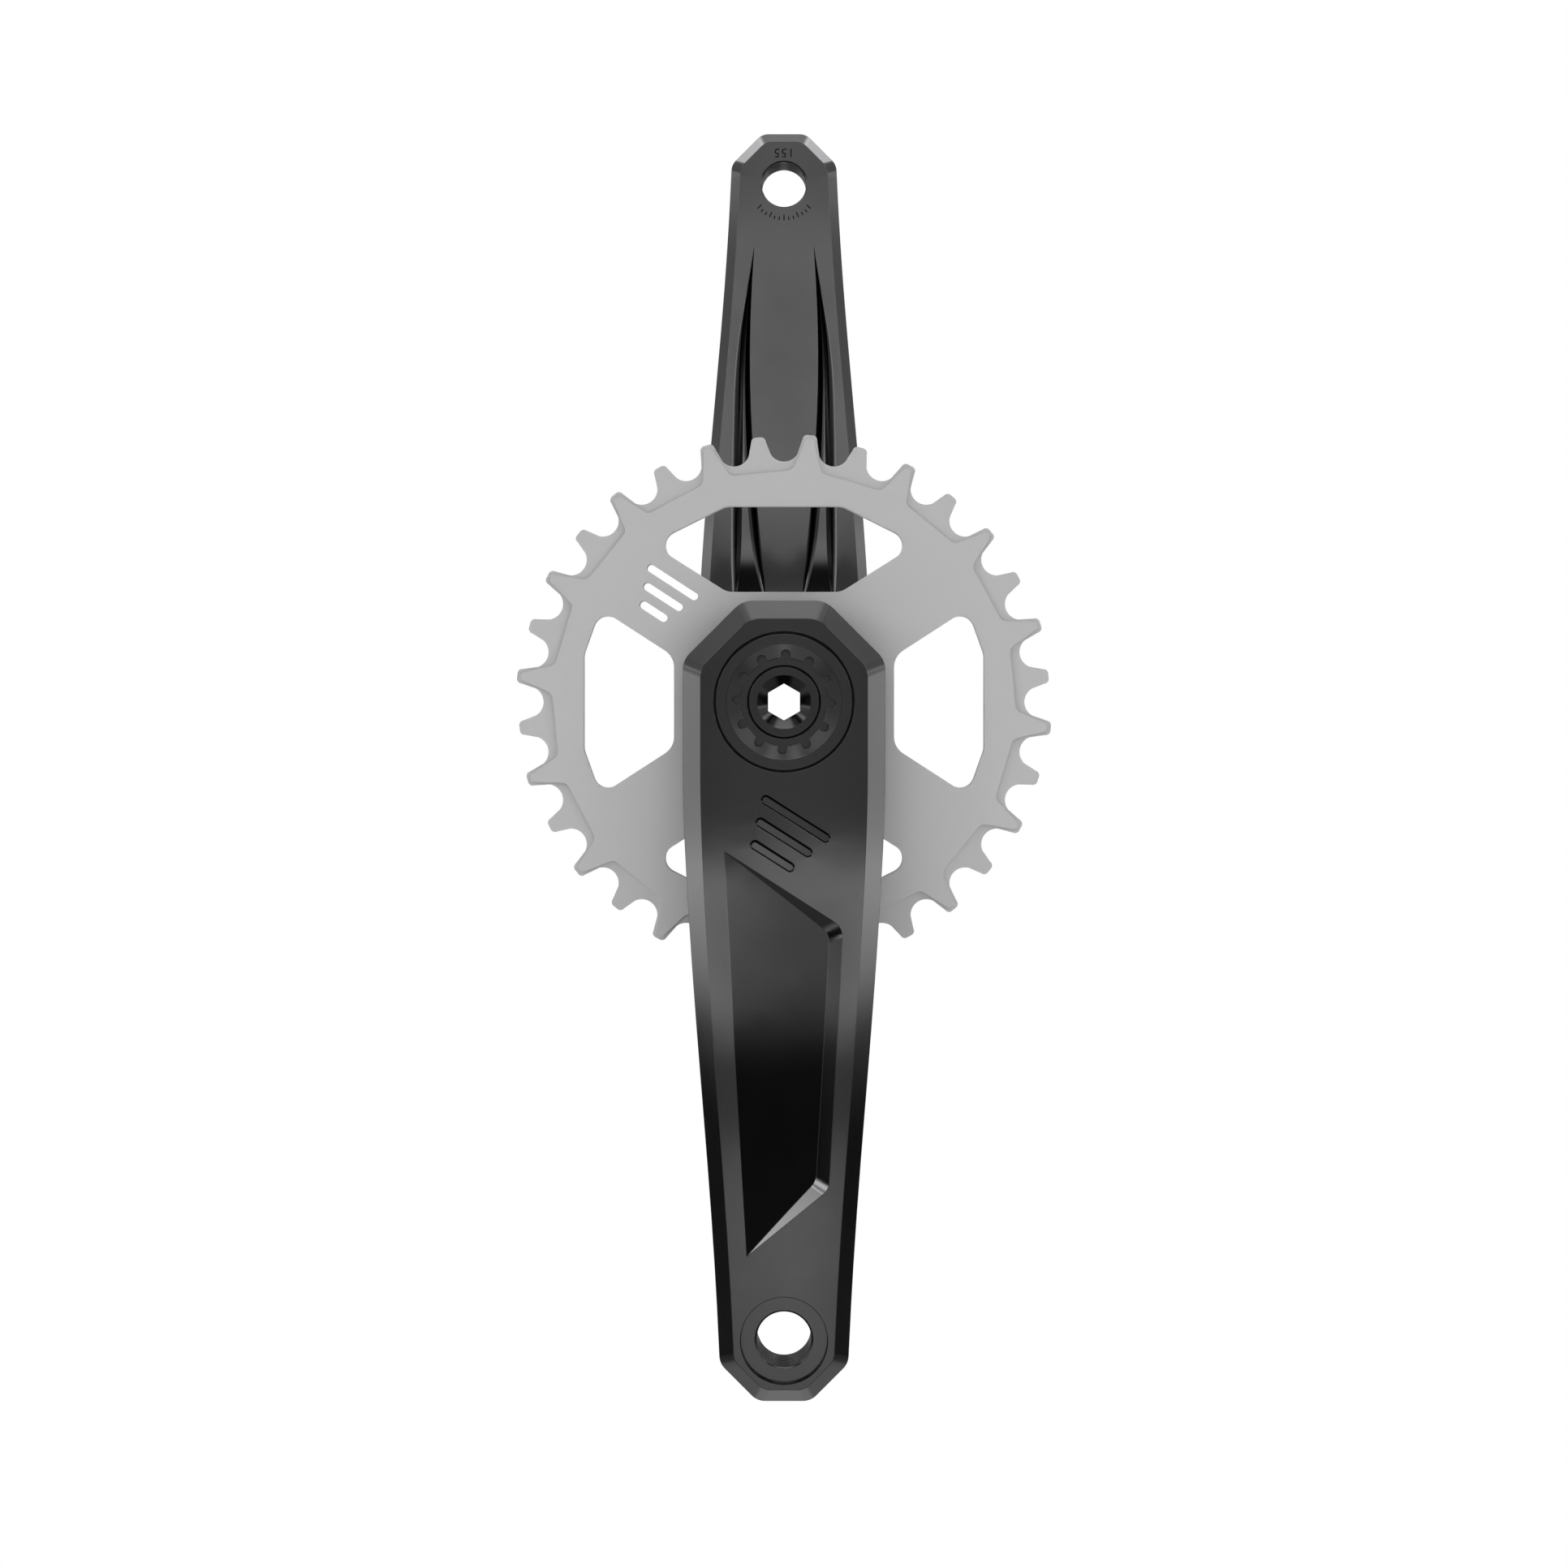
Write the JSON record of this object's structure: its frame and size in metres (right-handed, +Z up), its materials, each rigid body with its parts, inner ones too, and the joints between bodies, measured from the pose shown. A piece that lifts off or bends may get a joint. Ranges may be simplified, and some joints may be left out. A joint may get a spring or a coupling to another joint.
{
  "type": "bicycle crankset",
  "caption": "Bicycle crankset with two bevelled forged arms, a splined chainring on the drive arm, a hollow spindle, self-extracting bolts and a preload adjuster.",
  "frame": {"origin": "on the spindle axis at the bicycle's centre plane, half way between the two pedal faces", "axes": "+Z up along the left arm, +X forwards, Y along the spindle with the drive side at -Y"},
  "size_m": [0.135, 0.168, 0.3412],
  "materials": {
    "arm": "satin black anodised forging",
    "cap": "satin black anodised, turned",
    "bolt": "black oxide steel",
    "spindle_steel": "dark satin steel",
    "chainring": "satin light grey anodised",
    "nut": "satin black anodised, turned",
    "washer": "plain steel",
    "spacer": "satin dark anodised",
    "shield": "black moulded plastic",
    "adjuster": "satin black anodised, turned",
    "screw": "steel"
  },
  "bodies": {
    "root": {"drive_arm": "arm", "left_arm": "arm", "spindle": "spindle_steel", "drive_crank_bolt": "bolt", "left_crank_bolt": "bolt", "drive_bolt_washer": "washer", "left_bolt_washer": "washer", "drive_extractor_cap": "cap", "left_extractor_cap": "cap", "chainring": "chainring", "lockring_washer": "washer", "chainring_lockring": "nut", "drive_spacer": "spacer", "drive_shim": "spacer", "drive_bearing_shield": "shield"},
    "preload_stack": {"thrust_washer": "washer", "left_spacer": "spacer", "left_bearing_shield": "shield"},
    "preload_adjuster": {"preload_ring": "adjuster", "preload_pinch_screw": "screw"}
  },
  "joints": [
    {"name": "preload_travel", "type": "slide", "parent": "root", "child": "preload_stack", "axis": [0, -1, 0], "range_m": [0, 0.0015]},
    {"name": "preload_turn", "type": "hinge", "parent": "preload_stack", "child": "preload_adjuster", "pos_m": [0, 0.0533, 0], "axis": [0, -1, 0], "range_deg": [0, 540]}
  ],
  "couplings": [
    {"joint": "preload_travel", "follows": "preload_turn", "m_per_rad": 0.00015915}
  ]
}
